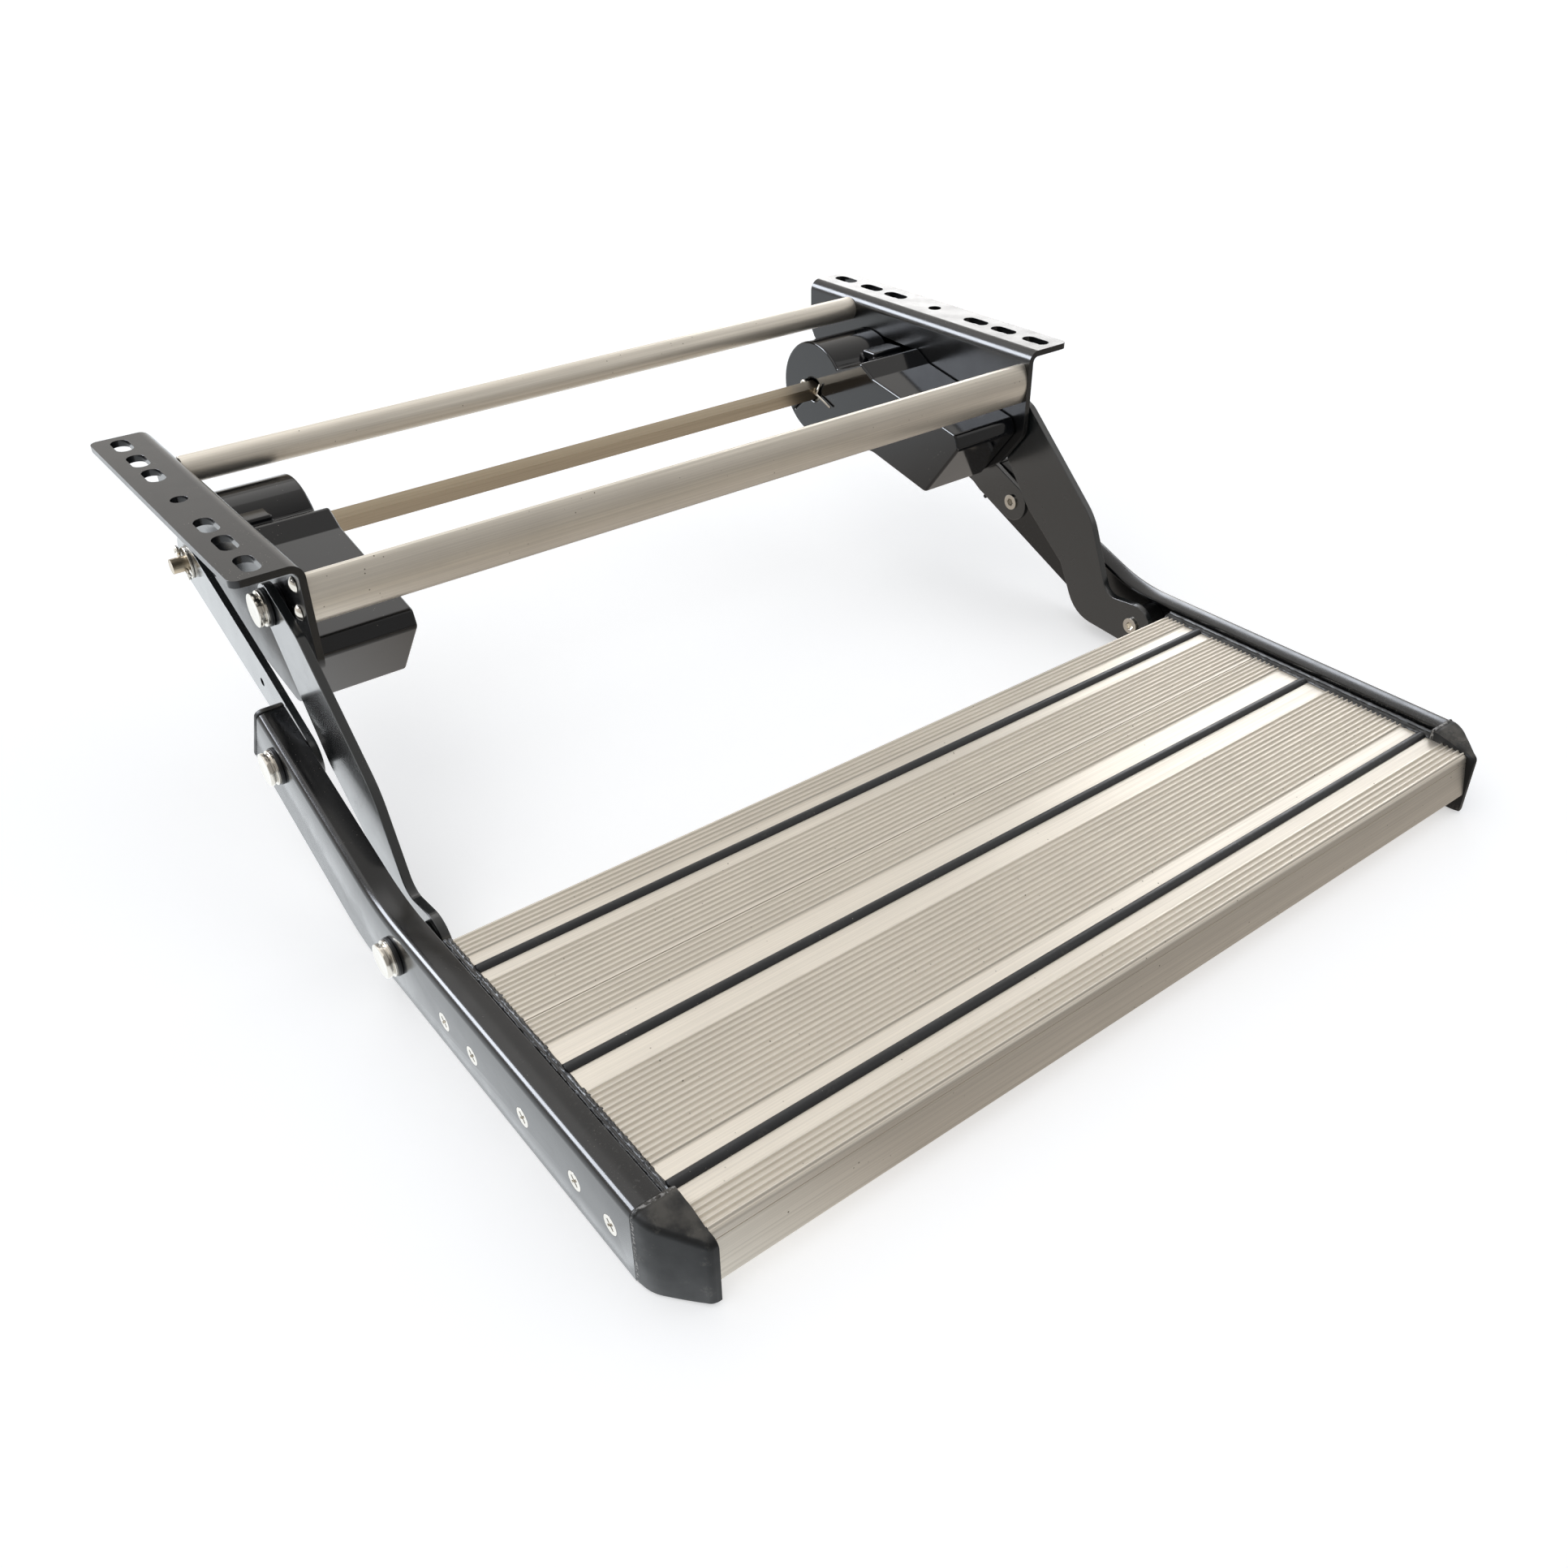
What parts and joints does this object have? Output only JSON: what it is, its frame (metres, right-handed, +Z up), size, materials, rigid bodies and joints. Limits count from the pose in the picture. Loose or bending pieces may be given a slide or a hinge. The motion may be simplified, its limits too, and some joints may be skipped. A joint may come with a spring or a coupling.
{
  "type": "caravan pull out step",
  "caption": "Swing-out entry step: a ribbed aluminium tread on sprung parallel links under two slotted steel floor brackets.",
  "frame": {"origin": "midway between the two round centre holes, on the top face of the mounting flanges", "axes": "+X across the step to the right as seen from outside the vehicle looking at it from the tread's front, +Y towards the vehicle, +Z up, normal to the flange tops"},
  "size_m": [0.5848, 0.5895, 0.185],
  "materials": {
    "black_enamel_steel": "gloss",
    "anodised_aluminium": "satin",
    "shaft_steel": "satin",
    "plated_steel": "satin",
    "spring_steel": "oiled",
    "gloss_black_plastic": "gloss",
    "cap_plastic": "satin",
    "black_rubber": "matte",
    "black_nylon": "satin",
    "natural_nylon": "satin"
  },
  "bodies": {
    "frame": {"left_bracket": "black_enamel_steel", "right_bracket": "black_enamel_steel", "rear_cross_tube": "anodised_aluminium", "front_cross_bar": "anodised_aluminium", "cross_bar_screws": "plated_steel", "left_spring_cover": "gloss_black_plastic", "right_spring_cover": "gloss_black_plastic", "left_torsion_spring": "spring_steel", "right_torsion_spring": "spring_steel", "spring_anchor_pins": "spring_steel", "upper_pivot_pins": "plated_steel", "upper_pivot_nuts": "plated_steel", "upper_pivot_steel_washers": "plated_steel", "upper_pivot_nylon_washers": "black_nylon"},
    "front_links": {"left_front_link": "black_enamel_steel", "right_front_link": "black_enamel_steel"},
    "rear_links": {"square_shaft": "shaft_steel", "left_rear_link": "black_enamel_steel", "right_rear_link": "black_enamel_steel", "shaft_bushes": "black_nylon", "shaft_end_washers": "plated_steel", "shaft_end_split_pins": "plated_steel", "cover_split_pins": "plated_steel", "spring_hubs": "natural_nylon", "rear_link_pivot_nuts": "plated_steel"},
    "tread": {"left_side_rail": "black_enamel_steel", "right_side_rail": "black_enamel_steel", "left_rear_end_cap": "cap_plastic", "right_rear_end_cap": "cap_plastic", "left_front_corner_cap": "cap_plastic", "right_front_corner_cap": "cap_plastic", "rear_tread_board": "anodised_aluminium", "front_tread_board": "anodised_aluminium", "rear_grip_strip": "black_rubber", "middle_grip_strip": "black_rubber", "front_grip_strip": "black_rubber", "left_end_trim": "black_rubber", "right_end_trim": "black_rubber", "left_rail_screws": "plated_steel", "right_rail_screws": "plated_steel", "front_foot_pivot_pins": "plated_steel", "front_foot_pivot_nuts": "plated_steel", "front_foot_steel_washers": "plated_steel", "front_foot_nylon_washers": "black_nylon", "front_foot_spacers": "black_nylon", "rear_foot_pivot_pins": "plated_steel", "rear_foot_steel_washers": "plated_steel", "rear_foot_nylon_washers": "black_nylon", "rear_foot_spacers": "black_nylon"}
  },
  "joints": [
    {"name": "front_links_swing", "type": "hinge", "parent": "frame", "child": "front_links", "pos_m": [0, -0.079, -0.036], "axis": [1, 0, 0], "range_deg": [0, 98.57]},
    {"name": "rear_links_swing", "type": "hinge", "parent": "frame", "child": "rear_links", "pos_m": [0, 0.046, -0.056], "axis": [1, 0, 0], "range_deg": [0, 136.26]},
    {"name": "tread_swing", "type": "hinge", "parent": "front_links", "child": "tread", "pos_m": [0, -0.226, -0.1625], "axis": [1, 0, 0], "range_deg": [-98.57, 0]}
  ],
  "couplings": [
    {"joint": "rear_links_swing", "follows": "front_links_swing", "ratio": 1.3824},
    {"joint": "tread_swing", "follows": "front_links_swing", "ratio": -1}
  ]
}
